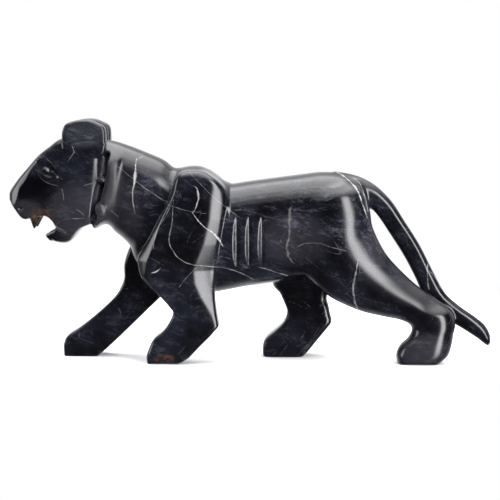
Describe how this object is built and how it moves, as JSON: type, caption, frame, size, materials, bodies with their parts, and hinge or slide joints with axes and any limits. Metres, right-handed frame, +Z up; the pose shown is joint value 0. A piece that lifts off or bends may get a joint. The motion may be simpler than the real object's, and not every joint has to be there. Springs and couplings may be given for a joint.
{
  "type": "stone tiger figurine",
  "caption": "Walking tiger carved from one block of polished black marble, head low and jaws open, tail arched down to the hock.",
  "frame": {"origin": "centre of the overall box in plan, on the plane the four soles stand on", "axes": "+X from the nose to the tail tip, +Y from the near flank to the far flank, +Z up from the soles"},
  "size_m": [0.48, 0.094, 0.24],
  "materials": {
    "black_marble": "polished, with white and grey veins"
  },
  "bodies": {
    "root": {"stone_tiger": "black_marble"}
  },
  "joints": []
}
